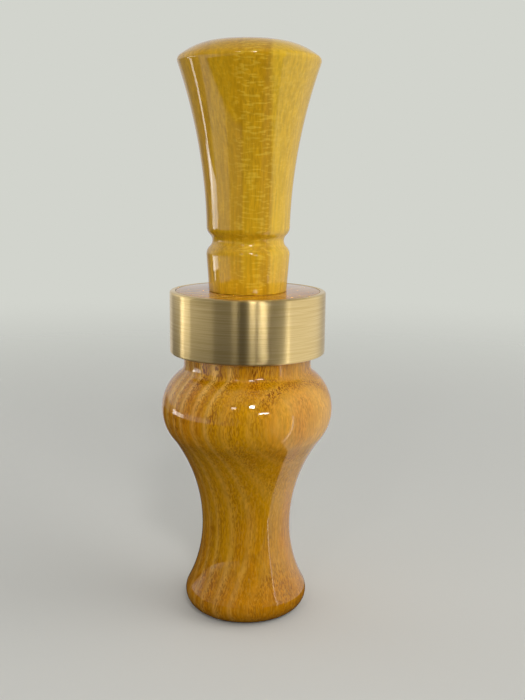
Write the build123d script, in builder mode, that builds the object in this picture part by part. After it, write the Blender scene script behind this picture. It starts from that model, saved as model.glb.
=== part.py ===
from build123d import *
from math import acos, atan2, cos, degrees, radians, sin, sqrt, tan
import os

# Turned wooden duck call, standing on its mouthpiece. Sizes are in millimetres.
# The origin is the middle of the mouthpiece's rest ring, and +Z runs up the call's axis to the bell.
# Heights are measured from the rest ring, and depths down from the seat where the bell meets the barrel.

# Shared fit: the socket in the barrel that takes the insert
socket_radius = 7.94
socket_chamfer = 0.3
glue_gap = 0.05
running_gap = 0.02

# Barrel
barrel_length = 74.6
mouth_bore_radius = 6.35
mouth_bore_length = 14.4
mouth_round = 2.6
rest_ring_width = 1.1
lip_round = 4.05
waist_wall = 2.26
waist_height = 20.2
bulb_swell = 9.25
bulb_round = 10.5
neck_depth = 5.05
neck_cove = 2.0
neck_length = 2.85

# Brass band
band_radius = 17.45
band_wall = 1.25
band_height = 13.85
band_edge_round = 0.45

# Bell of the insert, with heights measured up from the seat
bell_height = 53.6
seat_width = 0.76
stem_taper = 0.57
groove_height = 11.2
groove_depth = 1.33
groove_cove = 1.7
groove_lip_round = 2.4
groove_lip_drop = 0.05
rim_radius = 15.55
rim_round = 1.2
flare_lean = 19.0
crown_lean = 52.0
exhaust_radius = 4.75
exhaust_edge_round = 1.0

# Tone board
board_clearance = 0.14
tongue_step = 0.2
spigot_shoulder = 1.45
spigot_length = 9.0
spigot_end_gap = 0.2
collar_length = 11.0
tip_clearance = 3.6
nose_round = 3.5
exhaust_depth = 8.0
face_offset = 1.6
channel_radius = 3.175
channel_cover = 0.4
channel_end = 9.0
lay_length = 18.0
lay_fall = 1.2
notch_lean = 14.0
cut_overrun = 1.0

# Rubber rings on the tone board's collar
ring_thickness = 1.54
ring_width = 2.0
ring_side_gap = 0.2
first_ring_depth = 3.4
ring_pitch = 4.4

# Reeds and the cork wedge that clamps them
reed_thickness = 0.35
reed_margin = 1.4
reed_back_gap = 0.5
reed_tip_gap = 0.4
reed_corner = 2.0
upper_reed_setback = 1.5
dimple_radius = 1.2
dimple_height = 0.3
dimple_from_tip = 12.0
wedge_length = 10.0
wedge_front_lean = 6.0
wedge_margin = 0.1

# Barrel sizes that follow
seat_height = barrel_length
socket_floor = mouth_round + mouth_bore_length
rest_ring_inner = mouth_bore_radius + mouth_round
lip_centre = rest_ring_inner + rest_ring_width
lip_radius = lip_centre + lip_round
waist_radius = socket_radius + waist_wall
bulb_radius = waist_radius + bulb_swell
bulb_centre = bulb_radius - bulb_round
neck_radius = bulb_radius - neck_depth
band_bottom = barrel_length - band_height
tenon_radius = band_radius - band_wall - glue_gap
neck_foot = band_bottom - neck_length
shoulder_reach = bulb_round + neck_cove
shoulder_angle = degrees(acos((shoulder_reach - neck_depth) / shoulder_reach))
bulb_height = neck_foot - sqrt(shoulder_reach**2 - (shoulder_reach - neck_depth) ** 2)

# Tone board sizes that follow
collar_radius = socket_radius - board_clearance
tongue_radius = collar_radius - tongue_step
spigot_radius = collar_radius - spigot_shoulder
spigot_top = seat_height + spigot_length
notch_back = seat_height - collar_length
tip_height = socket_floor + tip_clearance
channel_centre = channel_radius + channel_cover - face_offset
ring_outer = socket_radius - running_gap
ring_groove_root = ring_outer - ring_thickness - running_gap
ring_groove_width = ring_width + 2 * ring_side_gap
ring_heights = [seat_height - first_ring_depth - i * ring_pitch for i in range(2)]

# Reed sizes that follow
face_half_width = sqrt(tongue_radius**2 - face_offset**2)
reed_width = 2 * (face_half_width - reed_margin)
reed_back = notch_back - reed_back_gap
reed_tip = tip_height + reed_tip_gap
reed_stack = face_offset + 2 * reed_thickness

# Bell sizes that follow
stem_foot_radius = socket_radius + seat_width
stem_top_radius = stem_foot_radius + stem_taper
groove_root = stem_top_radius - groove_depth
bell_foot_radius = stem_top_radius - groove_lip_drop
bell_top = seat_height + bell_height
bell_socket_depth = spigot_length + spigot_end_gap
rim_centre = rim_radius - rim_round
crown_inner = exhaust_radius + exhaust_edge_round
crown_round = rim_round + (rim_centre - crown_inner) / cos(radians(crown_lean))
rim_height = bell_top - crown_round + (crown_round - rim_round) * sin(radians(crown_lean))


def flare_angle(crest_centre, crest_round, rise):
    """Angle at which a round crest runs into the hollow flare that leads to the waist.

    The crest and the flare are circles that touch, and the flare stands upright where it meets the waist.
    """
    inset = waist_radius - crest_centre
    flare_radius = (inset**2 + rise**2 - crest_round**2) / (2 * (crest_round - inset))
    return degrees(atan2(rise, inset + flare_radius))


def notch_wall(reach):
    """Height of the cork notch's leaning back wall, at a distance from the call's axis."""
    return notch_back - (reach - face_offset) * tan(radians(notch_lean))


lip_angle = flare_angle(lip_centre, lip_round, waist_height - lip_round)
bulb_angle = flare_angle(bulb_centre, bulb_round, bulb_height - waist_height)

os.makedirs("parts", exist_ok=True)


# Barrel: one turned profile of lip, waist, bulb, neck and the tenon under the band, bored from both ends
with BuildPart() as barrel:
    with BuildSketch(Plane.XZ):
        with BuildLine():
            lip = CenterArc((lip_centre, lip_round), lip_round, -90, 90 + lip_angle)
            lower_flare = TangentArc(lip @ 1, (waist_radius, waist_height), tangent=lip % 1)
            bulb = CenterArc((bulb_centre, bulb_height), bulb_round, -bulb_angle, bulb_angle + shoulder_angle)
            TangentArc(lower_flare @ 1, bulb @ 0, tangent=lower_flare % 1)
            cove = TangentArc(bulb @ 1, (neck_radius, neck_foot), tangent=bulb % 1)
            bore = Polyline(
                cove @ 1,
                (neck_radius, band_bottom),
                (tenon_radius, band_bottom),
                (tenon_radius, barrel_length),
                (socket_radius + socket_chamfer, barrel_length),
                (socket_radius, barrel_length - socket_chamfer),
                (socket_radius, socket_floor),
                (mouth_bore_radius, socket_floor),
                (mouth_bore_radius, mouth_round),
            )
            mouth = TangentArc(bore @ 1, (rest_ring_inner, 0), tangent=bore % 1)
            Line(mouth @ 1, lip @ 0)
        make_face()
    revolve(axis=Axis.Z)
barrel.part.label = "barrel"
export_step(barrel.part, "parts/barrel.step")


# Brass band: a short tube with rounded outer edges, glued over the tenon and flush with its end
with BuildPart() as brass_band:
    with BuildSketch(Plane.XY.offset(band_bottom)):
        Circle(band_radius)
        Circle(band_radius - band_wall, mode=Mode.SUBTRACT)
    extrude(amount=band_height)
    outer_edges = brass_band.faces().filter_by(GeomType.CYLINDER).sort_by(SortBy.AREA)[-1].edges()
    fillet(outer_edges.filter_by(GeomType.CIRCLE), band_edge_round)
brass_band.part.label = "brass_band"
export_step(brass_band.part, "parts/brass_band.step")


# Bell: tapered stem, lanyard groove, flared bell and domed end outside, spigot socket and exhaust bore inside
with BuildPart() as stopper_bell:
    groove_middle = seat_height + groove_height
    groove_reach = groove_cove + groove_lip_round
    bell_side_depth = bell_foot_radius - groove_root
    groove_rise = sqrt(groove_reach**2 - (groove_reach - bell_side_depth) ** 2)
    groove_fall = sqrt(groove_reach**2 - (groove_reach - groove_depth) ** 2)
    groove_start = degrees(atan2(groove_fall, groove_reach - groove_depth))
    groove_end = degrees(atan2(groove_rise, groove_reach - bell_side_depth))
    with BuildSketch(Plane.XZ):
        with BuildLine():
            rim = CenterArc((rim_centre, rim_height), rim_round, -flare_lean, flare_lean + crown_lean)
            crown = TangentArc(rim @ 1, (crown_inner, bell_top), tangent=rim % 1)
            groove = CenterArc(
                (groove_root + groove_cove, groove_middle),
                groove_cove,
                180 + groove_start,
                -groove_start - groove_end,
            )
            bell_lip = TangentArc(
                groove @ 1, (bell_foot_radius, groove_middle + groove_rise), tangent=groove % 1
            )
            stem_lip = TangentArc(
                groove @ 0, (stem_top_radius, groove_middle - groove_fall), tangent=(groove % 0) * -1
            )
            TangentArc(rim @ 0, bell_lip @ 1, tangent=(rim % 0) * -1)
            inside = Polyline(
                stem_lip @ 1,
                (stem_foot_radius, seat_height),
                (spigot_radius + glue_gap, seat_height),
                (spigot_radius + glue_gap, seat_height + bell_socket_depth),
                (exhaust_radius, seat_height + bell_socket_depth),
                (exhaust_radius, bell_top - exhaust_edge_round),
            )
            TangentArc(inside @ 1, crown @ 1, tangent=inside % 1)
        make_face()
    revolve(axis=Axis.Z)
stopper_bell.part.label = "stopper_bell"
export_step(stopper_bell.part, "parts/stopper_bell.step")


# Tone board: a turned plug with ring grooves, cut away along its tongue to a flat reed face.
# The face falls away to the tip in a shallow curve, and a channel in it carries the sound up to the bell.
with BuildPart() as tone_board:
    cut_reach = collar_radius + cut_overrun
    cut_end = tip_height - cut_overrun
    with BuildSketch(Plane.XZ):
        with BuildLine():
            nose = CenterArc(
                (tongue_radius - nose_round, tip_height + nose_round), nose_round, -90, 90
            )
            Polyline(
                nose @ 1,
                (tongue_radius, notch_back),
                (collar_radius, notch_back),
                (collar_radius, seat_height),
                (spigot_radius, seat_height),
                (spigot_radius, spigot_top),
                (0, spigot_top),
                (0, tip_height),
                nose @ 0,
            )
        make_face()
        for ring_height in ring_heights:
            with Locations((ring_groove_root, ring_height)):
                Rectangle(
                    socket_radius,
                    ring_groove_width,
                    align=(Align.MIN, Align.CENTER),
                    mode=Mode.SUBTRACT,
                )
    revolve(axis=Axis.Z)
    with BuildSketch(Plane.YZ):
        with BuildLine():
            lay = TangentArc(
                (-face_offset, tip_height + lay_length),
                (lay_fall - face_offset, tip_height),
                tangent=(0, -1),
            )
            Polyline(
                lay @ 1,
                (lay_fall - face_offset, cut_end),
                (-cut_reach, cut_end),
                (-cut_reach, notch_wall(cut_reach)),
                (-face_offset, notch_back),
                lay @ 0,
            )
        make_face()
    extrude(amount=cut_reach, both=True, mode=Mode.SUBTRACT)
    with BuildSketch(Plane.XY.offset(tip_height + channel_end)):
        with Locations((0, -face_offset)):
            Rectangle(2 * channel_radius, face_offset + channel_centre, align=(Align.CENTER, Align.MIN))
    extrude(amount=notch_back - tip_height - channel_end, mode=Mode.SUBTRACT)
    with BuildSketch(Plane.XY.offset(tip_height + channel_end)):
        with Locations((0, channel_centre)):
            Circle(channel_radius)
    extrude(amount=seat_height - exhaust_depth - tip_height - channel_end, mode=Mode.SUBTRACT)
    with BuildSketch(Plane.XY.offset(spigot_top)):
        Circle(exhaust_radius)
    extrude(amount=-spigot_length - exhaust_depth, mode=Mode.SUBTRACT)
tone_board.part.label = "tone_board"
export_step(tone_board.part, "parts/tone_board.step")


# Rubber rings, squeezed oval between the ring grooves and the socket's wall
for ring_name, ring_height in zip(("upper_o_ring", "lower_o_ring"), ring_heights):
    with BuildPart() as o_ring:
        with BuildSketch(Plane.XZ):
            with Locations((ring_outer - ring_thickness / 2, ring_height)):
                Ellipse(ring_thickness / 2, ring_width / 2)
        revolve(axis=Axis.Z)
    o_ring.part.label = ring_name
    export_step(o_ring.part, f"parts/{ring_name}.step")


def reed_strip(strip, tip):
    """Draws a reed in the open sketch, square at its back end and rounded at its tip."""
    with Locations((0, reed_back)):
        Rectangle(reed_width, reed_back - tip, align=(Align.CENTER, Align.MAX))
    fillet(strip.vertices().group_by(Axis.Y)[0], reed_corner)


def dimple_half(face, middle):
    """Half profile, on the YZ plane, of a shallow dome that stands on a reed's face."""
    with BuildSketch(Plane.YZ) as profile:
        with BuildLine():
            Polyline((face, middle + dimple_radius), (face, middle), (face - dimple_height, middle))
            TangentArc((face - dimple_height, middle), (face, middle + dimple_radius), tangent=(0, 1))
        make_face()
    return profile.sketch


# Lower reed: a plain strip on the tone board's face
with BuildPart() as lower_reed:
    with BuildSketch(Plane.XZ.offset(face_offset)) as lower_strip:
        reed_strip(lower_strip, reed_tip)
    extrude(amount=reed_thickness)
lower_reed.part.label = "lower_reed"
export_step(lower_reed.part, "parts/lower_reed.step")


# Upper reed: a shorter strip on the lower one, with a pressed dimple
with BuildPart() as upper_reed:
    dimple_middle = reed_tip + upper_reed_setback + dimple_from_tip
    dimple_axis = Axis((0, 0, dimple_middle), (0, 1, 0))
    with BuildSketch(Plane.XZ.offset(face_offset + reed_thickness)) as upper_strip:
        reed_strip(upper_strip, reed_tip + upper_reed_setback)
    extrude(amount=reed_thickness)
    revolve(dimple_half(-reed_stack, dimple_middle), axis=dimple_axis)
    revolve(dimple_half(reed_thickness - reed_stack, dimple_middle), axis=dimple_axis, mode=Mode.SUBTRACT)
upper_reed.part.label = "upper_reed"
export_step(upper_reed.part, "parts/upper_reed.step")


# Cork wedge: a half-round block on the reeds, held under the notch's leaning back wall
with BuildPart() as cork_wedge:
    wedge_front = notch_back - wedge_length
    wedge_front_rise = (tongue_radius - reed_stack) * tan(radians(wedge_front_lean))
    with BuildSketch(Plane.YZ):
        with BuildLine():
            Polyline(
                (-reed_stack, notch_wall(reed_stack)),
                (-tongue_radius, notch_wall(tongue_radius)),
                (-tongue_radius, wedge_front + wedge_front_rise),
                (-reed_stack, wedge_front),
                close=True,
            )
        make_face()
    extrude(amount=tongue_radius, both=True)
    with BuildSketch(Plane.XY.offset(wedge_front)):
        Circle(tongue_radius - wedge_margin)
    extrude(amount=wedge_length, mode=Mode.INTERSECT)
cork_wedge.part.label = "cork_wedge"
export_step(cork_wedge.part, "parts/cork_wedge.step")
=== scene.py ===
import logging
import math
from dataclasses import dataclass
from enum import Enum
from typing import Any, Mapping, Sequence

import bmesh
import bpy
from mathutils import Matrix, Vector


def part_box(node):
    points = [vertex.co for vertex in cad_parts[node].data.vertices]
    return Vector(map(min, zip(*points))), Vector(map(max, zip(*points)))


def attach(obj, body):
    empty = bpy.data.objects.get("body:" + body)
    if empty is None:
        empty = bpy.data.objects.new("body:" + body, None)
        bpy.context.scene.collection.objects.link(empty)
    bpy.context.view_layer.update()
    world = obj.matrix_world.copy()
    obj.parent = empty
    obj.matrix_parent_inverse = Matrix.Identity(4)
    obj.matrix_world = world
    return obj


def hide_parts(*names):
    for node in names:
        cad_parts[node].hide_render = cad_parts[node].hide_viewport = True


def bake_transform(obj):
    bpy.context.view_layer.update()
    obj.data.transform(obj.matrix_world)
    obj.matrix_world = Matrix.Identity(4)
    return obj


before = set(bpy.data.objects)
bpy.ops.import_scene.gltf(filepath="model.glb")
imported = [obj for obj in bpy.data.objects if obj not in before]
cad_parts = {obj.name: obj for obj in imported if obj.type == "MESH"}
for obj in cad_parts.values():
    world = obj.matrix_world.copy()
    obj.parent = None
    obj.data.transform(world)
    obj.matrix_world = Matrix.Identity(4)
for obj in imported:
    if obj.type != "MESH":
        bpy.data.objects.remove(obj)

# Sizes are in millimetres in the classes below, and in metres in Blender.
MM = 0.001
ARC_STEP = 0.45
ARC_LEAST_STEPS = 4
TURN_STEPS = 192
SHARP_EDGE = math.radians(28)
MERGE_DISTANCE = 1e-7
OPEN_GRID = 180.0

Tree = bpy.types.NodeTree
Socket = bpy.types.NodeSocket
Piece = bpy.types.Object
Shape = bmesh.types.BMesh
Colour = tuple[float, float, float, float]
Point = tuple[float, float]
Size = tuple[float, float, float]
Inputs = dict[str, Any]

log = logging.getLogger("bird_call")


class Body(Enum):
    """The moving bodies of the call."""

    BARREL = "barrel"
    SEALS = "seals"
    INSERT = "insert"
    LOWER_REED = "lower_reed"
    UPPER_REED = "upper_reed"


class Slot(Enum):
    """The record's material slots."""

    BARREL_WOOD = "barrel_wood"
    BELL_WOOD = "bell_wood"
    BAND_BRASS = "band_brass"
    BOARD_POLYMER = "board_polymer"
    REED_FILM = "reed_film"
    WEDGE_CORK = "wedge_cork"
    RING_RUBBER = "ring_rubber"


def linear(code: str) -> Colour:
    """Turns an sRGB hex colour into linear light.

    Args:
        code: Six hex digits, such as "c08a2e".

    Returns:
        Red, green, blue and a full alpha.
    """
    shares = [int(code[i:i + 2], 16) / 255 for i in (0, 2, 4)]
    light = [s / 12.92 if s <= 0.04045 else ((s + 0.055) / 1.055) ** 2.4 for s in shares]
    return (light[0], light[1], light[2], 1.0)


def add_node(
    tree: Tree,
    kind: str,
    settings: Mapping[str, Any] | None = None,
    sockets: Mapping[Any, Any] | None = None,
    stops: Sequence[tuple[float, Colour]] = (),
) -> bpy.types.NodeOutputs:
    """Adds one node with its settings, constants and links.

    Args:
        tree: The tree that gets the node.
        kind: The node's type without its "ShaderNode" start.
        settings: Values for the node's own properties.
        sockets: For each input, by name or number, a constant or the output that feeds it.
        stops: The places and colours of a colour ramp.

    Returns:
        The new node's outputs.
    """
    node = tree.nodes.new("ShaderNode" + kind)
    for key, value in (settings or {}).items():
        setattr(node, key, value)
    for key, value in (sockets or {}).items():
        if isinstance(value, Socket):
            tree.links.new(value, node.inputs[key])
        else:
            node.inputs[key].default_value = value
    if stops:
        ramp = node.color_ramp.elements
        ramp.remove(ramp[-1])
        ramp[0].position, ramp[0].color = stops[0]
        for place, colour in stops[1:]:
            ramp.new(place).color = colour
    return node.outputs


def new_tree(name: str) -> tuple[bpy.types.Material, Tree]:
    """Makes a material with an empty node tree.

    Args:
        name: The material's name.

    Returns:
        The material and its tree.
    """
    material = bpy.data.materials.new(name)
    material.use_nodes = True
    material.node_tree.nodes.clear()
    return material, material.node_tree


@dataclass(frozen=True)
class Step:
    """A smooth step from one value to another."""

    start: float
    end: float
    low: float = 0.0
    high: float = 1.0

    def over(self, tree: Tree, value: Socket) -> Socket:
        """Takes the step while a value runs from start to end.

        Args:
            tree: The tree that gets the node.
            value: The value that runs.

        Returns:
            Low up to the start, high past the end.
        """
        ends = {"From Min": self.start, "From Max": self.end, "To Min": self.low, "To Max": self.high}
        smooth = {"interpolation_type": "SMOOTHSTEP"}
        return add_node(tree, "MapRange", smooth, {"Value": value, **ends})["Result"]


@dataclass(frozen=True)
class Speckle:
    """Noise whose grains have a real size along each axis, in millimetres."""

    size: Size
    detail: float
    step: Step | None = None

    def over(self, tree: Tree, place: Socket) -> Socket:
        """Adds the noise.

        Args:
            tree: The tree that gets the nodes.
            place: The point, in metres.

        Returns:
            The noise after its step, or its bare value around 0.5.
        """
        scale = tuple(1 / (length * MM) for length in self.size)
        scaled = add_node(tree, "VectorMath", {"operation": "MULTIPLY"}, {0: place, 1: scale})[0]
        grains = {"Vector": scaled, "Scale": 1.0, "Detail": self.detail}
        noise = add_node(tree, "TexNoise", None, grains)[0]
        return self.step.over(tree, noise) if self.step else noise


@dataclass(frozen=True)
class Finish:
    """A surface of the call, under the name of its material."""

    name: str

    def inputs(self, tree: Tree, place: Socket) -> Inputs:
        """Finds what the surface's shader gets.

        Args:
            tree: The material's nodes.
            place: The point on the piece, in metres.

        Returns:
            For each of the shader's inputs, a constant or the output that feeds it.
        """
        raise NotImplementedError

    def material(self) -> bpy.types.Material:
        """Builds the material.

        Returns:
            The material.
        """
        material, tree = new_tree(self.name)
        place = add_node(tree, "TexCoord")["Object"]
        shader = add_node(tree, "BsdfPrincipled", None, self.inputs(tree, place))[0]
        add_node(tree, "OutputMaterial", None, {"Surface": shader})
        return material


@dataclass(frozen=True)
class LacqueredWood(Finish):
    """Ring-porous yellow hardwood, turned, sanded and built up with clear gloss lacquer.

    The eye sees soft growth rings with a pale line each, dark pore dashes along the grain, pale
    flecks where the cut follows the rays, paler sapwood on one side, warmer clouds, and a wet, glassy
    film over all. A deeper orange towards the foot is painted warm bounce light.
    """

    rings: tuple[tuple[float, str], ...]
    plain: str
    plain_from: Step
    sapwood: str
    sapwood_from: Step
    pore: str
    fleck: str
    blush_and_glow: str
    radial_turn: float
    pith: Size
    ring_spacing: float
    waver: float
    pore_dashes: Speckle
    pore_strength: float
    ray_flecks: Speckle
    ray_strength: float
    ray_from: Step
    # The blush colour lays warmer clouds, which are the wood's own tone, and, low down, painted warm
    # bounce light over the foot.
    blush_and_glow_strength: float
    painted_glow_below: Step
    figure: tuple[Point, ...]

    waver_length: float = 22.0
    waver_detail: float = 1.5
    uneven_pace: float = 0.5
    uneven_width: float = 0.6
    zone_strength: float = 0.85
    figure_patches: Speckle = Speckle((9, 9, 17), 1, Step(0.40, 0.60, 0.65, 1.0))
    blush_clouds: Speckle = Speckle((8, 8, 26), 2, Step(0.42, 0.70))
    pore_fields: Speckle = Speckle((6, 6, 14), 1, Step(0.38, 0.62, 0.55, 1.0))
    pores_in_ring: Step = Step(0.30, 0.85, 1.0, 0.45)
    pores_in_sapwood: Step = Step(0.0, 1.0, 1.0, 0.35)
    pores_in_plain: Step = Step(0.0, 0.6, 1.0, 0.4)
    pore_sink: float = -0.30
    fibres: Speckle = Speckle((0.6, 0.6, 16), 2, Step(0.3, 0.7, 0.88, 1.10))
    film_waves: Speckle = Speckle((2.4, 2.4, 3.6), 0)
    film_relief: float = 0.02
    film_strength: float = 0.3
    film_roughness: float = 0.03
    film_index: float = 1.48

    def grain(self, tree: Tree, place: Socket) -> Socket:
        """Finds each point's place in the trunk: X along the radius, Z along the grain.

        Args:
            tree: The material's nodes.
            place: The point on the piece, in metres.

        Returns:
            The place, measured from the pith, with a slow waver.
        """
        pith = [length * MM for length in self.pith]
        trunk = {"Location": pith, "Rotation": (0, 0, math.radians(-self.radial_turn))}
        turned = add_node(tree, "Mapping", None, {"Vector": place, **trunk})[0]
        waves = {"Scale": 1 / (self.waver_length * MM), "Detail": self.waver_detail}
        drift = add_node(tree, "TexNoise", None, {"Vector": turned, **waves})["Color"]
        middle = {0: drift, 1: (0.5, 0.5, 0.5)}
        centred = add_node(tree, "VectorMath", {"operation": "SUBTRACT"}, middle)[0]
        shift = {0: centred, 1: (self.waver * MM, self.waver * MM, 0), 2: turned}
        return add_node(tree, "VectorMath", {"operation": "MULTIPLY_ADD"}, shift)[0]

    def depth(self, tree: Tree, grain: Socket) -> Socket:
        """Finds how far each point lies from the pith, in millimetres past the turning axis.

        Args:
            tree: The material's nodes.
            grain: The place in the trunk.

        Returns:
            The depth, 0 where a ring passes through the turning axis.
        """
        across = (1 / MM, 1 / MM, 0)
        flat = add_node(tree, "VectorMath", {"operation": "MULTIPLY"}, {0: grain, 1: across})[0]
        length = add_node(tree, "VectorMath", {"operation": "LENGTH"}, {0: flat})["Value"]
        return add_node(tree, "Math", {"operation": "SUBTRACT"}, {0: length, 1: self.pith[0]})[0]

    def ring_phase(self, tree: Tree, depth: Socket) -> Socket:
        """Finds how far each point lies into its growth ring.

        Args:
            tree: The material's nodes.
            depth: The distance from the pith.

        Returns:
            0 at a ring's start to 1 at its end.
        """
        spacing = {0: depth, 1: self.ring_spacing}
        years = add_node(tree, "Math", {"operation": "DIVIDE"}, spacing)[0]
        pace = {"W": years, "Scale": self.uneven_pace, "Detail": 0}
        uneven = add_node(tree, "TexNoise", {"noise_dimensions": "1D"}, pace)[0]
        widths = {0: uneven, 1: self.uneven_width, 2: years}
        wander = add_node(tree, "Math", {"operation": "MULTIPLY_ADD"}, widths)[0]
        return add_node(tree, "Math", {"operation": "FRACT"}, {0: wander})[0]

    def figure_fade(self, tree: Tree, grain: Socket, upright: Socket) -> Socket:
        """Finds where the rings fade out, by height and in slow patches.

        Args:
            tree: The material's nodes.
            grain: The place in the trunk.
            upright: The height along the grain.

        Returns:
            0 where the rings show fully to 1 where they have gone.
        """
        first, last = self.figure[0][0], self.figure[-1][0]
        ends = {"From Min": first * MM, "From Max": last * MM}
        share = add_node(tree, "MapRange", None, {"Value": upright, **ends})[0]
        stops = [((rise - first) / (last - first), (much, much, much, 1)) for rise, much in self.figure]
        shown = add_node(tree, "ValToRGB", None, {"Fac": share}, stops)[0]
        patches = self.figure_patches.over(tree, grain)
        patchy = add_node(tree, "Math", {"operation": "MULTIPLY"}, {0: shown, 1: patches})[0]
        return add_node(tree, "Math", {"operation": "SUBTRACT"}, {0: 1.0, 1: patchy})[0]

    def blend(self, tree: Tree, base: Socket, over: str, share: Socket, strength: float) -> Socket:
        """Lays a colour over another one.

        Args:
            tree: The material's nodes.
            base: The colour below.
            over: The colour on top, in hex.
            share: Where it lies, from 0 to 1.
            strength: How much of it shows at most.

        Returns:
            The mixed colour.
        """
        much = add_node(tree, "Math", {"operation": "MULTIPLY"}, {0: share, 1: strength})[0]
        colours = {"Color1": base, "Color2": linear(over)}
        return add_node(tree, "MixRGB", None, {"Fac": much, **colours})[0]

    def inputs(self, tree: Tree, place: Socket) -> Inputs:
        """Lays the wood's colours over each other, and the lacquer over them.

        Args:
            tree: The material's nodes.
            place: The point on the piece, in metres.

        Returns:
            What the shader gets.
        """
        grain = self.grain(tree, place)
        depth = self.depth(tree, grain)
        phase = self.ring_phase(tree, depth)
        upright = add_node(tree, "SeparateXYZ", None, {0: grain})["Z"]
        faded = self.figure_fade(tree, grain, upright)
        pale = self.sapwood_from.over(tree, depth)
        inner = self.plain_from.over(tree, depth)
        calm = add_node(tree, "Math", {"operation": "MAXIMUM"}, {0: faded, 1: inner})[0]
        clouds = self.blush_clouds.over(tree, grain)
        # Painted warm bounce light: everything below this height also gets the blush colour.
        low = self.painted_glow_below.over(tree, upright)
        clouds = add_node(tree, "Math", {"operation": "MAXIMUM"}, {0: clouds, 1: low})[0]
        pores = self.pore_dashes.over(tree, grain)
        for share in (
            self.pores_in_ring.over(tree, phase),
            self.pore_fields.over(tree, grain),
            self.pores_in_sapwood.over(tree, pale),
            self.pores_in_plain.over(tree, faded),
        ):
            pores = add_node(tree, "Math", {"operation": "MULTIPLY"}, {0: pores, 1: share})[0]
        flecks = self.ray_flecks.over(tree, grain)
        along = self.ray_from.over(tree, depth)
        flecks = add_node(tree, "Math", {"operation": "MULTIPLY"}, {0: flecks, 1: along})[0]
        stops = [(start, linear(code)) for start, code in self.rings]
        colour = add_node(tree, "ValToRGB", None, {"Fac": phase}, stops)[0]
        colour = self.blend(tree, colour, self.plain, calm, self.zone_strength)
        colour = self.blend(tree, colour, self.sapwood, pale, self.zone_strength)
        colour = self.blend(tree, colour, self.blush_and_glow, clouds, self.blush_and_glow_strength)
        colour = self.blend(tree, colour, self.pore, pores, self.pore_strength)
        colour = self.blend(tree, colour, self.fleck, flecks, self.ray_strength)
        shades = {"Fac": 1.0, "Color1": colour, "Color2": self.fibres.over(tree, grain)}
        colour = add_node(tree, "MixRGB", {"blend_type": "MULTIPLY"}, shades)[0]
        film = {0: pores, 1: self.pore_sink, 2: self.film_waves.over(tree, grain)}
        relief = add_node(tree, "Math", {"operation": "MULTIPLY_ADD"}, film)[0]
        waves = {"Strength": self.film_strength, "Distance": self.film_relief * MM}
        bump = add_node(tree, "Bump", None, {"Height": relief, **waves})[0]
        return {
            "Base Color": colour,
            "Specular IOR Level": 0.0,
            "Coat Weight": 1.0,
            "Coat Roughness": self.film_roughness,
            "Coat IOR": self.film_index,
            "Normal": bump,
            "Coat Normal": bump,
        }


@dataclass(frozen=True)
class PatternedFinish(Finish):
    """A finish with one pattern, which shifts its colour and roughness and may stand in relief.

    A surface that is brushed round draws reflections out along the axis, into columns.
    """

    dark: str
    light: str
    pattern: Speckle
    roughness: Step
    fixed: Inputs
    tone: Step = Step(0.3, 0.7)
    relief_strength: float = 0.0
    relief_height: float = 0.0
    brushed_round: bool = False

    def inputs(self, tree: Tree, place: Socket) -> Inputs:
        """Draws the pattern.

        Args:
            tree: The material's nodes.
            place: The point on the piece, in metres.

        Returns:
            What the shader gets.
        """
        pattern = self.pattern.over(tree, place)
        tones = {"Color1": linear(self.dark), "Color2": linear(self.light)}
        share = self.tone.over(tree, pattern)
        colour = add_node(tree, "MixRGB", None, {"Fac": share, **tones})[0]
        found = {"Base Color": colour, "Roughness": self.roughness.over(tree, pattern), **self.fixed}
        if self.relief_strength:
            size = {"Strength": self.relief_strength, "Distance": self.relief_height * MM}
            found["Normal"] = add_node(tree, "Bump", None, {"Height": pattern, **size})[0]
        if self.brushed_round:
            around = {"direction_type": "RADIAL", "axis": "Z"}
            found["Tangent"] = add_node(tree, "Tangent", around)[0]
        return found


@dataclass(frozen=True)
class NaturalCork(Finish):
    """Natural cork, sanded: warm tan cells with darker pits and streaks."""

    name: str = "cork_natural_sanded"
    light: str = "c99a68"
    dark: str = "9c6b3d"
    pit: str = "4f2f18"
    patches: Speckle = Speckle((1.6, 1.6, 1.6), 3, Step(0.35, 0.65))
    pits: Speckle = Speckle((0.5, 1.1, 0.5), 2, Step(0.60, 0.68))
    pit_depth: float = 0.12
    pit_strength: float = 0.7
    roughness: float = 0.82
    index: float = 1.45

    def inputs(self, tree: Tree, place: Socket) -> Inputs:
        """Draws the cells and sinks the pits.

        Args:
            tree: The material's nodes.
            place: The point on the piece, in metres.

        Returns:
            What the shader gets.
        """
        tones = {"Color1": linear(self.dark), "Color2": linear(self.light)}
        patches = self.patches.over(tree, place)
        base = add_node(tree, "MixRGB", None, {"Fac": patches, **tones})[0]
        pits = self.pits.over(tree, place)
        tones = {"Color1": base, "Color2": linear(self.pit)}
        colour = add_node(tree, "MixRGB", None, {"Fac": pits, **tones})[0]
        size = {"Strength": self.pit_strength, "Distance": self.pit_depth * MM}
        bump = add_node(tree, "Bump", {"invert": True}, {"Height": pits, **size})[0]
        return {"Base Color": colour, "Roughness": self.roughness, "IOR": self.index, "Normal": bump}


def spin_round(shape: Shape) -> None:
    """Spins an upright section full circle about Z.

    Args:
        shape: The section, on the XZ plane.
    """
    section = shape.verts[:] + shape.edges[:]
    turn = {"cent": (0, 0, 0), "axis": (0, 0, 1), "angle": math.tau, "steps": TURN_STEPS}
    bmesh.ops.spin(shape, geom=section, use_merge=True, **turn)


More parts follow.
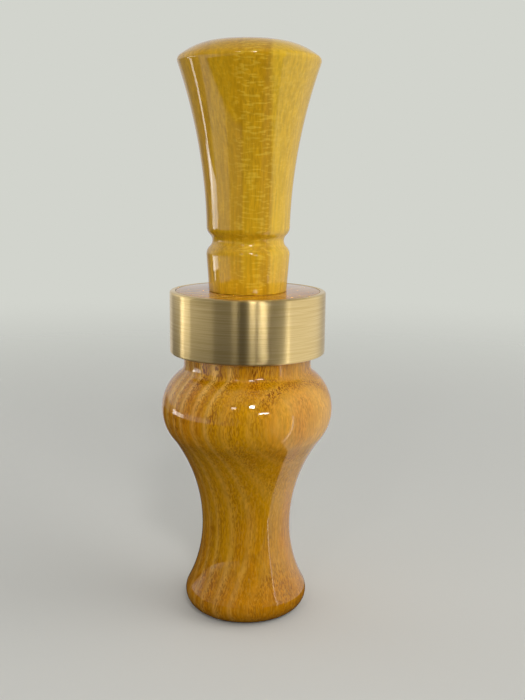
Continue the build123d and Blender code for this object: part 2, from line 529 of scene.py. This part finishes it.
def stand_up(shape: Shape, width: float, height: float, centre: Vector) -> None:
    """Gives a flat unit shape its size, stands it up and moves it into place.

    Args:
        shape: The shape, flat on the XY plane and 1 m across.
        width: Its width along X, in metres.
        height: Its height along Z, in metres.
        centre: Where its middle goes.
    """
    upright = Matrix.Rotation(math.pi / 2, 3, "X")
    bmesh.ops.scale(shape, vec=(width, height, 1), verts=shape.verts[:])
    bmesh.ops.rotate(shape, cent=(0, 0, 0), matrix=upright, verts=shape.verts[:])
    bmesh.ops.translate(shape, vec=centre, verts=shape.verts[:])


def cut_away(shape: Shape, point: Vector, away: Vector) -> None:
    """Cuts off what lies beyond a plane.

    Args:
        shape: The shape to cut.
        point: A point of the plane.
        away: The direction of what is cut off.
    """
    whole = shape.verts[:] + shape.edges[:] + shape.faces[:]
    bmesh.ops.bisect_plane(shape, geom=whole, plane_co=point, plane_no=away, clear_outer=True)


class Turning:
    """A half section drawn on the XZ plane and then spun about Z, as a lathe shapes wood."""

    def __init__(self, radius: float, height: float) -> None:
        """Starts the section at a point, in millimetres.

        Args:
            radius: The point's distance from the axis.
            height: The point's height.
        """
        self.shape = bmesh.new()
        self.start = (radius, height)
        self.pen = self.shape.verts.new((radius * MM, 0, height * MM))

    def line(self, radius: float, height: float) -> None:
        """Draws a straight run to a point.

        Args:
            radius: The end's distance from the axis.
            height: The end's height.
        """
        made = bmesh.ops.extrude_vert_indiv(self.shape, verts=[self.pen])
        self.pen = made["verts"][0]
        self.pen.co = (radius * MM, 0, height * MM)

    def arc(self, centre: Point, sweep: float) -> None:
        """Draws an arc of a circle from the pen.

        Args:
            centre: The arc's centre.
            sweep: The turn in degrees, counter-clockwise with the axis on the left.
        """
        pen = (self.pen.co.x / MM, self.pen.co.z / MM)
        run = math.radians(abs(sweep)) * math.dist(pen, centre)
        made = bmesh.ops.spin(
            self.shape,
            geom=[self.pen],
            cent=(centre[0] * MM, 0, centre[1] * MM),
            axis=(0, -1, 0),
            angle=math.radians(sweep),
            steps=max(ARC_LEAST_STEPS, math.ceil(run / ARC_STEP)),
        )
        self.pen = next(v for v in made["geom_last"] if isinstance(v, bmesh.types.BMVert))

    def turn(self) -> Shape:
        """Closes the section and spins it.

        Returns:
            The turned shape.
        """
        self.line(*self.start)
        spin_round(self.shape)
        return self.shape


def make_piece(name: str, shape: Shape, finish: bpy.types.Material, node: str) -> Piece:
    """Turns a finished shape into an object that stands for a CAD node.

    Args:
        name: The piece's name.
        shape: The shape, which is used up.
        finish: The piece's material.
        node: The CAD node that the piece replaces.

    Returns:
        The new object.
    """
    bmesh.ops.remove_doubles(shape, verts=shape.verts[:], dist=MERGE_DISTANCE)
    bmesh.ops.recalc_face_normals(shape, faces=shape.faces[:])
    mesh = bpy.data.meshes.new(name)
    shape.to_mesh(mesh)
    shape.free()
    mesh.shade_smooth()
    mesh.set_sharp_from_angle(angle=SHARP_EDGE)
    mesh.materials.append(finish)
    piece = bpy.data.objects.new(name, mesh)
    bpy.context.scene.collection.objects.link(piece)
    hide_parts(node)
    return piece


@dataclass
class Barrel:
    """The turned wooden barrel: lip, waist, bulb, neck and the tenon under the band."""

    socket_radius: float = 7.94
    socket_chamfer: float = 0.3
    mouth_bore_radius: float = 6.35
    mouth_bore_length: float = 14.4
    mouth_round: float = 2.6
    rest_ring_width: float = 1.1
    lip_round: float = 4.05
    waist_wall: float = 2.26
    waist_height: float = 20.2
    bulb_round: float = 10.5
    neck_depth: float = 5.05
    neck_cove: float = 2.0
    neck_length: float = 2.85
    tenon_ease: float = 0.2

    def flare(self, crest_centre: float, crest_round: float, rise: float) -> tuple[float, float]:
        """Finds the hollow flare between a round crest and the waist.

        Args:
            crest_centre: The crest's centre, from the axis.
            crest_round: The crest's radius.
            rise: The height between the crest's centre and the waist.

        Returns:
            The flare's radius, and its sweep in degrees.
        """
        inset = self.socket_radius + self.waist_wall - crest_centre
        radius = (inset**2 + rise**2 - crest_round**2) / (2 * (crest_round - inset))
        return radius, math.degrees(math.atan2(rise, inset + radius))

    def section(self) -> Turning:
        """Draws the barrel's half section.

        Returns:
            The section, ready to turn.
        """
        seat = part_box("barrel")[1].z / MM
        bulb_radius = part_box("barrel")[1].x / MM
        band_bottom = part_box("brass_band")[0].z / MM
        tenon_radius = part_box("brass_band")[1].x / MM - Band.wall - Band.glue_gap
        waist = self.socket_radius + self.waist_wall
        ring_inner = self.mouth_bore_radius + self.mouth_round
        lip_centre = ring_inner + self.rest_ring_width
        bulb_centre = bulb_radius - self.bulb_round
        neck = bulb_radius - self.neck_depth
        reach = self.bulb_round + self.neck_cove
        shoulder = math.acos((reach - self.neck_depth) / reach)
        neck_foot = band_bottom - self.neck_length
        bulb_height = neck_foot - reach * math.sin(shoulder)
        lip_rise = self.waist_height - self.lip_round
        lip_flare, lip_sweep = self.flare(lip_centre, self.lip_round, lip_rise)
        bulb_rise = bulb_height - self.waist_height
        bulb_flare, bulb_sweep = self.flare(bulb_centre, self.bulb_round, bulb_rise)
        floor = self.mouth_round + self.mouth_bore_length
        draw = Turning(ring_inner, 0)
        draw.line(lip_centre, 0)
        draw.arc((lip_centre, self.lip_round), 90 + lip_sweep)
        draw.arc((waist + lip_flare, self.waist_height), -lip_sweep)
        draw.arc((waist + bulb_flare, self.waist_height), -bulb_sweep)
        draw.arc((bulb_centre, bulb_height), bulb_sweep + math.degrees(shoulder))
        draw.arc((neck + self.neck_cove, neck_foot), -math.degrees(shoulder))
        draw.line(neck, band_bottom)
        draw.line(tenon_radius, band_bottom)
        draw.line(tenon_radius, seat - self.tenon_ease)
        draw.arc((tenon_radius - self.tenon_ease, seat - self.tenon_ease), 90)
        draw.line(self.socket_radius + self.socket_chamfer, seat)
        draw.line(self.socket_radius, seat - self.socket_chamfer)
        draw.line(self.socket_radius, floor)
        draw.line(self.mouth_bore_radius, floor)
        draw.line(self.mouth_bore_radius, self.mouth_round)
        draw.arc((ring_inner, self.mouth_round), 90)
        return draw

    def build(self, wood: Finish) -> Piece:
        """Turns the barrel and dresses it.

        Args:
            wood: The barrel's wood.

        Returns:
            The barrel.
        """
        shape = self.section().turn()
        piece = make_piece("turned_barrel", shape, wood.material(), "barrel")
        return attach(piece, Body.BARREL.value)


@dataclass
class Band:
    """The brass band round the barrel's open end."""

    wall: float = 1.25
    glue_gap: float = 0.05
    edge_round: float = 0.45

    def build(self, brass: Finish) -> Piece:
        """Turns the band and dresses it.

        Args:
            brass: The band's finish.

        Returns:
            The band.
        """
        low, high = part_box("brass_band")
        outer, bottom, top = high.x / MM, low.z / MM, high.z / MM
        inner = outer - self.wall
        middle = outer - self.edge_round
        draw = Turning(inner, bottom)
        draw.line(middle, bottom)
        draw.arc((middle, bottom + self.edge_round), 90)
        draw.line(outer, top - self.edge_round)
        draw.arc((middle, top - self.edge_round), 90)
        draw.line(inner, top)
        piece = make_piece("brass_ring", draw.turn(), brass.material(), "brass_band")
        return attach(piece, Body.BARREL.value)


@dataclass
class Bell:
    """The insert's wooden bell: stem, lanyard groove, flare and domed end."""

    stem_foot: float = 8.70
    foot_ease: float = 0.25
    stem_taper: float = 0.57
    groove_height: float = 11.2
    groove_depth: float = 1.33
    groove_cove: float = 1.7
    lip_round: float = 2.4
    lip_drop: float = 0.05
    rim_round: float = 1.2
    flare_lean: float = 19.0
    crown_lean: float = 52.0
    exhaust_radius: float = 4.75
    exhaust_edge: float = 1.0
    socket_radius: float = 6.40
    socket_depth: float = 9.2

    def section(self) -> Turning:
        """Draws the bell's half section.

        Returns:
            The section, ready to turn.
        """
        low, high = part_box("stopper_bell")
        seat, top = low.z / MM, high.z / MM
        stem_top = self.stem_foot + self.stem_taper
        bell_foot = stem_top - self.lip_drop
        root = stem_top - self.groove_depth
        middle = seat + self.groove_height
        cove = (root + self.groove_cove, middle)
        reach = self.groove_cove + self.lip_round
        start = math.acos((reach - self.groove_depth) / reach)
        end = math.acos((reach - (bell_foot - root)) / reach)
        stem_lip = (cove[0] - reach * math.cos(start), middle - reach * math.sin(start))
        bell_lip = (cove[0] - reach * math.cos(end), middle + reach * math.sin(end))
        crown_inner = self.exhaust_radius + self.exhaust_edge
        rim_centre = high.x / MM - self.rim_round
        crown_turn = math.radians(self.crown_lean)
        crown_round = self.rim_round + (rim_centre - crown_inner) / math.cos(crown_turn)
        rim_height = top - crown_round + (crown_round - self.rim_round) * math.sin(crown_turn)
        lean = math.radians(self.flare_lean)
        outward = Vector((math.cos(lean), -math.sin(lean)))
        edge = Vector((rim_centre, rim_height)) + outward * self.rim_round
        chord = Vector((bell_foot, bell_lip[1])) - edge
        flare_radius = chord.length_squared / (2 * outward.dot(chord))
        flare = edge + outward * flare_radius
        flare_sweep = 2 * math.degrees(math.asin(chord.length / (2 * abs(flare_radius))))
        draw = Turning(self.stem_foot - self.foot_ease, seat)
        draw.arc((self.stem_foot - self.foot_ease, seat + self.foot_ease), 90)
        draw.line(stem_top, stem_lip[1])
        draw.arc(stem_lip, math.degrees(start))
        draw.arc(cove, -math.degrees(start + end))
        draw.arc(bell_lip, math.degrees(end))
        draw.arc((flare.x, flare.y), -flare_sweep)
        draw.arc((rim_centre, rim_height), self.flare_lean + self.crown_lean)
        draw.arc((crown_inner, top - crown_round), 90 - self.crown_lean)
        draw.arc((crown_inner, top - self.exhaust_edge), 90)
        draw.line(self.exhaust_radius, seat + self.socket_depth)
        draw.line(self.socket_radius, seat + self.socket_depth)
        draw.line(self.socket_radius, seat)
        return draw

    def build(self, wood: Finish) -> Piece:
        """Turns the bell and dresses it.

        Args:
            wood: The bell's wood.

        Returns:
            The bell.
        """
        shape = self.section().turn()
        piece = make_piece("turned_bell", shape, wood.material(), "stopper_bell")
        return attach(piece, Body.INSERT.value)


@dataclass
class ToneBoard:
    """The black tongue that carries the reeds, with a smooth copy of its solid."""

    facet_join: float = 0.002

    def build(self, acetal: Finish) -> Piece:
        """Copies the solid, joins its facets and dresses it.

        Args:
            acetal: The board's finish.

        Returns:
            The board.
        """
        shape = bmesh.new()
        shape.from_mesh(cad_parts["tone_board"].data)
        bmesh.ops.remove_doubles(shape, verts=shape.verts[:], dist=self.facet_join * MM)
        piece = make_piece("tongue_plug", shape, acetal.material(), "tone_board")
        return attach(piece, Body.INSERT.value)


@dataclass
class SealRings:
    """The two rubber rings in the tone board's collar."""

    thickness: float = 1.54
    round_steps: int = 24

    def build(self, rubber: Finish) -> list[Piece]:
        """Spins each ring from its squeezed section and dresses it.

        Args:
            rubber: The rings' finish.

        Returns:
            Both rings.
        """
        material = rubber.material()
        thickness = self.thickness * MM
        rings = []
        for node, name in (("upper_o_ring", "seal_upper"), ("lower_o_ring", "seal_lower")):
            low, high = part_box(node)
            middle = Vector((high.x - thickness / 2, 0, (low.z + high.z) / 2))
            shape = bmesh.new()
            bmesh.ops.create_circle(shape, radius=0.5, segments=self.round_steps)
            stand_up(shape, thickness, high.z - low.z, middle)
            spin_round(shape)
            piece = make_piece(name, shape, material, node)
            rings.append(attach(piece, Body.SEALS.value))
        return rings


@dataclass
class Reeds:
    """The two film reeds, drawn flat; the real ones bend where the tone board's face starts to curve.
    """

    thickness: float = 0.35
    corner: float = 2.0
    corner_steps: int = 8
    cell: float = 0.45
    bend_start: float = 38.6
    dimple_radius: float = 1.2
    dimple_height: float = 0.3
    dimple_from_tip: float = 12.0

    def strip(self, node: str) -> Shape:
        """Makes a reed's flat sheet on its lower face, with rounded tip corners.

        Args:
            node: The reed's CAD node.

        Returns:
            The sheet, facing away from the tone board.
        """
        low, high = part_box(node)
        width, length = high.x - low.x, high.z - low.z
        across, along = (round(side / (self.cell * MM)) for side in (width, length))
        corner = self.corner * MM
        shape = bmesh.new()
        bmesh.ops.create_grid(shape, x_segments=across, y_segments=along, size=0.5)
        stand_up(shape, width, length, Vector((0, high.y, (low.z + high.z) / 2)))
        for side in (-1, 1):
            centre = Vector((side * (high.x - corner), high.y, low.z + corner))
            for step in range(self.corner_steps + 1):
                turn = math.pi / 2 * step / self.corner_steps
                away = Vector((side * math.cos(turn), 0, -math.sin(turn)))
                cut_away(shape, centre + away * corner, away)
        return shape

    def press_dimple(self, shape: Shape, tip: float) -> None:
        """Raises a shallow dome away from the tone board.

        Args:
            shape: The upper reed's sheet.
            tip: The height of the reed's tip, in metres.
        """
        middle = tip + self.dimple_from_tip * MM
        for vertex in shape.verts:
            distance = math.hypot(vertex.co.x, vertex.co.z - middle) / (self.dimple_radius * MM)
            if distance < 1:
                vertex.co.y -= self.dimple_height * MM * (1 - distance**2)

    def build(self, film: Finish) -> list[Piece]:
        """Makes both reeds and dresses them.

        Args:
            film: The reeds' finish.

        Returns:
            Both reeds.
        """
        material = film.material()
        reeds = []
        for body, name in ((Body.LOWER_REED, "reed_lower"), (Body.UPPER_REED, "reed_upper")):
            low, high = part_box(body.value)
            shape = self.strip(body.value)
            if body is Body.UPPER_REED:
                self.press_dimple(shape, low.z)
            made = bmesh.ops.extrude_face_region(shape, geom=shape.faces[:], use_keep_orig=True)
            lifted = [v for v in made["geom"] if isinstance(v, bmesh.types.BMVert)]
            bmesh.ops.translate(shape, vec=(0, -self.thickness * MM, 0), verts=lifted)
            piece = make_piece(name, shape, material, body.value)
            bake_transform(piece)
            reeds.append(piece)
        return reeds


@dataclass
class CorkWedge:
    """The half-round cork that clamps the reeds under the collar's leaning wall."""

    radius: float = 7.5
    round_steps: int = 72
    wall_lean: float = 14.0
    front_lean: float = 6.0
    edge_round: float = 0.3
    edge_steps: int = 3

    def build(self, cork: Finish) -> Piece:
        """Cuts the wedge from a round bar, eases its edges and dresses it.

        Args:
            cork: The wedge's finish.

        Returns:
            The wedge.
        """
        low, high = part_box("cork_wedge")
        shape = bmesh.new()
        radius, depth = self.radius * MM, 2 * (high.z - low.z)
        bar = {"segments": self.round_steps, "radius1": radius, "radius2": radius, "depth": depth}
        bmesh.ops.create_cone(shape, cap_ends=True, **bar)
        bmesh.ops.translate(shape, vec=(0, 0, (low.z + high.z) / 2), verts=shape.verts[:])
        wall = math.tan(math.radians(self.wall_lean))
        front = math.tan(math.radians(self.front_lean))
        cuts = (
            (Vector((0, high.y, 0)), Vector((0, 1, 0))),
            (Vector((0, high.y, high.z)), Vector((0, -wall, 1))),
            (Vector((0, high.y, low.z)), Vector((0, -front, -1))),
        )
        for point, away in cuts:
            cut_away(shape, point, away.normalized())
            bmesh.ops.holes_fill(shape, edges=[e for e in shape.edges if e.is_boundary])
        creases = [e for e in shape.edges if e.calc_face_angle(0) > SHARP_EDGE]
        ease = {"offset": self.edge_round * MM, "segments": self.edge_steps, "profile": 0.5}
        bmesh.ops.bevel(shape, geom=creases, affect="EDGES", material=-1, **ease)
        bmesh.ops.triangulate(shape, faces=shape.faces[:])
        piece = make_piece("cork_block", shape, cork.material(), "cork_wedge")
        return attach(piece, Body.INSERT.value)


@dataclass(frozen=True)
class Lamp:
    """A flat lamp, placed by its turn right of the camera and its height, in degrees.

    A lamp with a grid lights only what lies within the grid's angle, and shows only there. One
    that isn't mirrored lights without showing in polish, and one that isn't diffuse only shows there.
    """

    name: str
    turn: float
    rise: float
    width: float
    height: float
    radiance: float
    mirrored: bool = True
    diffuse: bool = True
    distance: float = 1000.0
    aim: float = 72.0
    grid: float = OPEN_GRID

    def build(self) -> None:
        """Hangs the lamp at its distance from a point of the call's axis, and faces it there."""
        reach = self.distance * MM
        data = bpy.data.lights.new(self.name, "AREA")
        data.shape = "RECTANGLE"
        data.size = 2 * reach * math.tan(math.radians(self.width / 2))
        data.size_y = 2 * reach * math.tan(math.radians(self.height / 2))
        data.energy = math.pi * data.size * data.size_y * self.radiance
        if self.grid < OPEN_GRID:
            half = math.radians(self.grid / 2)
            data.spread = 2 * half
            data.energy *= 1 - half / math.tan(half)
        holder = bpy.data.objects.new(self.name, data)
        around, up = math.radians(self.turn), math.radians(self.rise)
        away = Vector((math.sin(around) * math.cos(up), -math.cos(around) * math.cos(up), math.sin(up)))
        holder.location = Vector((0, 0, self.aim * MM)) + away * reach
        holder.rotation_euler = away.to_track_quat("Z", "Y").to_euler()
        holder.visible_camera = False
        holder.visible_glossy = self.mirrored
        holder.visible_diffuse = self.diffuse
        bpy.context.scene.collection.objects.link(holder)


@dataclass
class Studio:
    """The pale floor, the soft light and the camera."""

    camera_place: Size = (0.0, -215.9, 102.2)
    yaw: float = 0.91
    pitch: float = 10.80
    roll: float = 0.59
    focal_pixels: float = 970.0
    image_height: float = 700.0
    sensor: float = 36.0
    nearest_seen: float = 10.0
    backdrop: str = "d2d4cd"
    floor_radius: float = 900.0
    floor_steps: int = 96
    floor_tone: str = "dcdcd6"

    # How far from the call the floor fades into the backdrop, in metres.
    floor_fade: Step = Step(0.10, 0.55)

    # The ground that the lacquer mirrors dark: its tone, its reach in metres, how soft its edges
    # are, and each edge's direction and offset.
    floor_bounce: str = "46433e"
    dark_reach: Step = Step(0.285, 0.30)
    dark_blur: float = 1.0
    dark_edges: tuple[Size, ...] = ((0.754, 0.657, 25.6), (0.958, 0.285, 28.7))

    # How bright the room is below and above eye level, by the turn right of the camera.
    room_below: tuple[Point, ...] = (
        (-180, 0.66), (-150, 0.62), (-143, 0.22), (-92, 0.22), (-88, 1.15),
        (-54, 1.05), (-47, 0.40), (-18, 0.34), (-12, 0.07), (27, 0.08),
        (34, 0.31), (57, 0.31), (60, 0.96), (122, 0.92), (145, 0.50),
        (180, 0.60),
    )
    room_above: tuple[Point, ...] = (
        (-180, 0.70), (-150, 0.67), (-125, 1.05), (-102, 0.85), (-90, 0.35),
        (-50, 0.24), (-18, 0.20), (-12, 0.07), (30, 0.07), (36, 0.25),
        (57, 0.28), (60, 0.92), (122, 0.90), (145, 0.56), (180, 0.70),
    )
    ceiling: float = 0.36

    # Where the room above eye level and the ceiling start, by the sine of the height.
    eye_level: Step = Step(-0.06, 0.06)
    ceiling_from: Step = Step(0.45, 0.85)

    lamps: tuple[Lamp, ...] = (
        Lamp("lamp_left", turn=-19, rise=30, width=6, height=5, radiance=11),
        Lamp("lamp_middle", turn=8, rise=35, width=7, height=7, radiance=36),
        *(
            Lamp(name, turn, rise=18.4, width=6, height=5, radiance=40, distance=400, aim=60, grid=8)
            for name, turn in (("lamp_right_1", 18.5), ("lamp_right_2", 22.5), ("lamp_right_3", 26.5))
        ),
        Lamp("soft_front", turn=14, rise=14, width=24, height=16, radiance=5.6, mirrored=False),
        Lamp("window_left", turn=-103, rise=-6.5, width=24, height=6, radiance=4.2, distance=4000),
        Lamp("window_slit", -107, -12, width=5, height=8.4, radiance=6, distance=337, aim=100, grid=24),
        Lamp("window_edge", 57, 0, width=2, height=56, radiance=3, distance=100, aim=5, diffuse=False),
        Lamp("soft_key", turn=72, rise=30, width=50, height=50, radiance=1.2, mirrored=False),
        Lamp("soft_fill", turn=-45, rise=0, width=60, height=30, radiance=1.2, mirrored=False),
    )

    def add_world(self) -> None:
        """Lights the scene from all round, and shows the camera a plain pale backdrop."""
        world = bpy.data.worlds.new("studio_light")
        bpy.context.scene.world = world
        world.use_nodes = True
        tree = world.node_tree
        tree.nodes.clear()
        place = add_node(tree, "TexCoord")["Generated"]
        axes = add_node(tree, "SeparateXYZ", None, {0: place})
        front = add_node(tree, "Math", {"operation": "MULTIPLY"}, {0: axes["Y"], 1: -1.0})[0]
        compass = add_node(tree, "Math", {"operation": "ARCTAN2"}, {0: axes["X"], 1: front})[0]
        circle = {"From Min": -math.pi, "From Max": math.pi}
        share = add_node(tree, "MapRange", None, {"Value": compass, **circle})[0]
        rooms = []
        for room in (self.room_below, self.room_above):
            stops = [((turn + 180) / 360, (tone, tone, tone, 1.0)) for turn, tone in room]
            rooms.append(add_node(tree, "ValToRGB", None, {"Fac": share}, stops)[0])
        raised = self.eye_level.over(tree, axes["Z"])
        tones = {"Color1": rooms[0], "Color2": rooms[1]}
        walls = add_node(tree, "MixRGB", None, {"Fac": raised, **tones})[0]
        high = self.ceiling_from.over(tree, axes["Z"])
        tones = {"Color1": walls, "Color2": [self.ceiling] * 3 + [1.0]}
        light = add_node(tree, "MixRGB", None, {"Fac": high, **tones})[0]
        room = add_node(tree, "Background", None, {"Color": light})[0]
        pale = add_node(tree, "Background", None, {"Color": linear(self.backdrop)})[0]
        seen = add_node(tree, "LightPath")["Is Camera Ray"]
        mixed = add_node(tree, "MixShader", None, {0: seen, 1: room, 2: pale})[0]
        add_node(tree, "OutputWorld", None, {"Surface": mixed})

    def add_floor(self) -> None:
        """Lays a pale floor that fades into the backdrop, and that the lacquer mirrors dark."""
        material, tree = new_tree("floor_matt_pale")
        place = add_node(tree, "TexCoord")["Object"]
        reach = add_node(tree, "VectorMath", {"operation": "LENGTH"}, {0: place})["Value"]
        seen_fade = self.floor_fade.over(tree, reach)
        dark_fade = self.dark_reach.over(tree, reach)
        for across, deep, offset in self.dark_edges:
            line = {0: place, 1: (across, deep, 0)}
            side = add_node(tree, "VectorMath", {"operation": "DOT_PRODUCT"}, line)["Value"]
            edge = Step((offset - self.dark_blur) * MM, (offset + self.dark_blur) * MM)
            fades = {0: dark_fade, 1: edge.over(tree, side)}
            dark_fade = add_node(tree, "Math", {"operation": "MAXIMUM"}, fades)[0]
        seen = add_node(tree, "LightPath")["Is Camera Ray"]
        fade = add_node(tree, "Mix", None, {"Factor": seen, "A": dark_fade, "B": seen_fade})[0]
        tones = {"Color1": linear(self.floor_bounce), "Color2": linear(self.floor_tone)}
        tone = add_node(tree, "MixRGB", None, {"Fac": seen, **tones})[0]
        paint = {"Base Color": tone, "Specular IOR Level": 0.0}
        matt = add_node(tree, "BsdfPrincipled", None, paint)[0]
        clear = add_node(tree, "BsdfTransparent")[0]
        mixed = add_node(tree, "MixShader", None, {0: fade, 1: matt, 2: clear})[0]
        add_node(tree, "OutputMaterial", None, {"Surface": mixed})
        shape = bmesh.new()
        radius = self.floor_radius * MM
        bmesh.ops.create_circle(shape, cap_ends=True, radius=radius, segments=self.floor_steps)
        mesh = bpy.data.meshes.new("pale_floor")
        shape.to_mesh(mesh)
        shape.free()
        mesh.materials.append(material)
        floor = bpy.data.objects.new("pale_floor", mesh)
        bpy.context.scene.collection.objects.link(floor)

    def add_camera(self) -> None:
        """Sets the camera where the picture was taken from."""
        data = bpy.data.cameras.new("camera")
        data.sensor_width = self.sensor
        data.lens = self.focal_pixels / self.image_height * self.sensor
        data.clip_start = self.nearest_seen * MM
        camera = bpy.data.objects.new("camera", data)
        bpy.context.scene.collection.objects.link(camera)
        yaw, pitch, roll = (math.radians(a) for a in (self.yaw, self.pitch, self.roll))
        level = math.cos(pitch)
        ahead = Vector((math.sin(yaw) * level, math.cos(yaw) * level, -math.sin(pitch)))
        right = Vector((math.cos(yaw), -math.sin(yaw), 0))
        up = right.cross(ahead)
        tilted_right = right * math.cos(roll) + up * math.sin(roll)
        tilted_up = up * math.cos(roll) - right * math.sin(roll)
        pose = Matrix((tilted_right, tilted_up, -ahead)).transposed().to_4x4()
        pose.translation = Vector(self.camera_place) * MM
        camera.matrix_world = pose
        bpy.context.scene.camera = camera

    def build(self) -> None:
        """Sets up the whole studio."""
        bpy.context.scene.view_settings.view_transform = "Standard"
        self.add_world()
        self.add_floor()
        for lamp in self.lamps:
            lamp.build()
        self.add_camera()


BARREL_WOOD = LacqueredWood(
    name="hardwood_lacquered_orange",
    rings=(
        (0.0, "ddae52"), (0.14, "d6a23c"), (0.32, "b97b06"), (0.55, "bd8204"),
        (0.74, "c68d08"), (0.88, "d9a84a"), (1.0, "ddae52"),
    ),
    plain="c28906",
    plain_from=Step(6.0, 11.0),
    sapwood="d69c30",
    sapwood_from=Step(15.5, 18.5),
    pore="7c4202",
    fleck="d3a03c",
    blush_and_glow="bb6a04",
    radial_turn=-45,
    pith=(60, 0, 0),
    ring_spacing=3.2,
    waver=2.4,
    pore_dashes=Speckle((0.30, 0.30, 1.1), 0.6, Step(0.47, 0.56)),
    pore_strength=1.0,
    ray_flecks=Speckle((0.45, 0.45, 2.0), 0.8, Step(0.50, 0.66)),
    ray_strength=0.22,
    ray_from=Step(-40.0, -30.0, 0.3, 1.0),
    blush_and_glow_strength=0.40,
    # Painted warm bounce light: a deeper orange over the lip, fading out between 6 and 18 mm high.
    painted_glow_below=Step(18.0 * MM, 6.0 * MM),
    figure=((0, 0.7), (10, 0.6), (17, 0.15), (41, 0.2), (48, 1.0), (62, 1.0)),
)

BELL_WOOD = LacqueredWood(
    name="hardwood_lacquered_yellow",
    rings=(
        (0.0, "cb9d1c"), (0.50, "c99914"), (0.80, "c1900f"), (0.93, "b2840c"), (1.0, "cb9d1c"),
    ),
    plain="c99914",
    plain_from=Step(20.0, 30.0),
    sapwood="dab024",
    sapwood_from=Step(3.2, 5.0),
    pore="8f6606",
    fleck="dcb434",
    blush_and_glow="c0900f",
    radial_turn=8,
    pith=(70, 0, 0),
    ring_spacing=7.2,
    waver=1.0,
    pore_dashes=Speckle((0.40, 0.40, 2.2), 0.6, Step(0.47, 0.56)),
    pore_strength=0.30,
    ray_flecks=Speckle((2.6, 0.5, 0.5), 0.8, Step(0.50, 0.66)),
    ray_strength=0.62,
    ray_from=Step(-4.5, -1.5, 0.3, 1.0),
    blush_and_glow_strength=0.3,
    painted_glow_below=Step(60.0 * MM, 50.0 * MM),
    figure=((74, 0.9), (128, 0.9)),
)

# Yellow brass tube, brushed and lacquered: fine lines round the ring under columns of light. Real
# brush lines are about 0.05 mm apart; these are drawn coarser so that they show.
BAND_BRASS = PatternedFinish(
    name="brass_brushed_round",
    light="ecd297",
    dark="dcbf7f",
    pattern=Speckle((14, 14, 0.17), 2),
    roughness=Step(0.3, 0.7, 0.34, 0.28),
    fixed={"Metallic": 1.0, "Anisotropic": 1.0, "Anisotropic Rotation": 0.25},
    relief_strength=0.2,
    relief_height=0.01,
    brushed_round=True,
)

# Black acetal rod, turned and milled: satin, with faint tool lines round the axis.
BOARD_ACETAL = PatternedFinish(
    name="acetal_machined_black",
    light="26272a",
    dark="131416",
    pattern=Speckle((20, 20, 0.3), 2),
    roughness=Step(0.3, 0.7, 0.32, 0.44),
    fixed={"IOR": 1.48},
    relief_strength=0.3,
    relief_height=0.02,
)

# Clear-white polyester film, die-cut: milky, smooth, with faint rolling streaks.
REED_FILM = PatternedFinish(
    name="polyester_film_milky",
    light="e9e7dd",
    dark="dedcd0",
    pattern=Speckle((1.8, 4, 26), 2),
    roughness=Step(0.3, 0.7, 0.22, 0.32),
    fixed={
        "IOR": 1.64,
        "Subsurface Weight": 0.25,
        "Subsurface Radius": (1.0, 1.0, 0.9),
        "Subsurface Scale": 0.4 * MM,
    },
)

# Black nitrile rubber, moulded: dull, with a thin grey bloom in patches.
RING_RUBBER = PatternedFinish(
    name="nitrile_moulded_black",
    light="2b2b2c",
    dark="151516",
    pattern=Speckle((1.4, 1.4, 1.4), 3),
    roughness=Step(0.3, 0.7, 0.5, 0.7),
    fixed={"IOR": 1.52},
    tone=Step(0.4, 0.7),
)


def main() -> None:
    """Builds the call piece by piece, then the studio."""
    logging.basicConfig(level=logging.INFO, format="%(name)s %(message)s")
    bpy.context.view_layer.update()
    pieces = [
        Barrel().build(BARREL_WOOD),
        Band().build(BAND_BRASS),
        Bell().build(BELL_WOOD),
        ToneBoard().build(BOARD_ACETAL),
        *SealRings().build(RING_RUBBER),
        *Reeds().build(REED_FILM),
        CorkWedge().build(NaturalCork()),
    ]
    for piece in pieces:
        log.info("%s: %d faces", piece.name, len(piece.data.polygons))
    Studio().build()


if __name__ == "__main__":
    main()
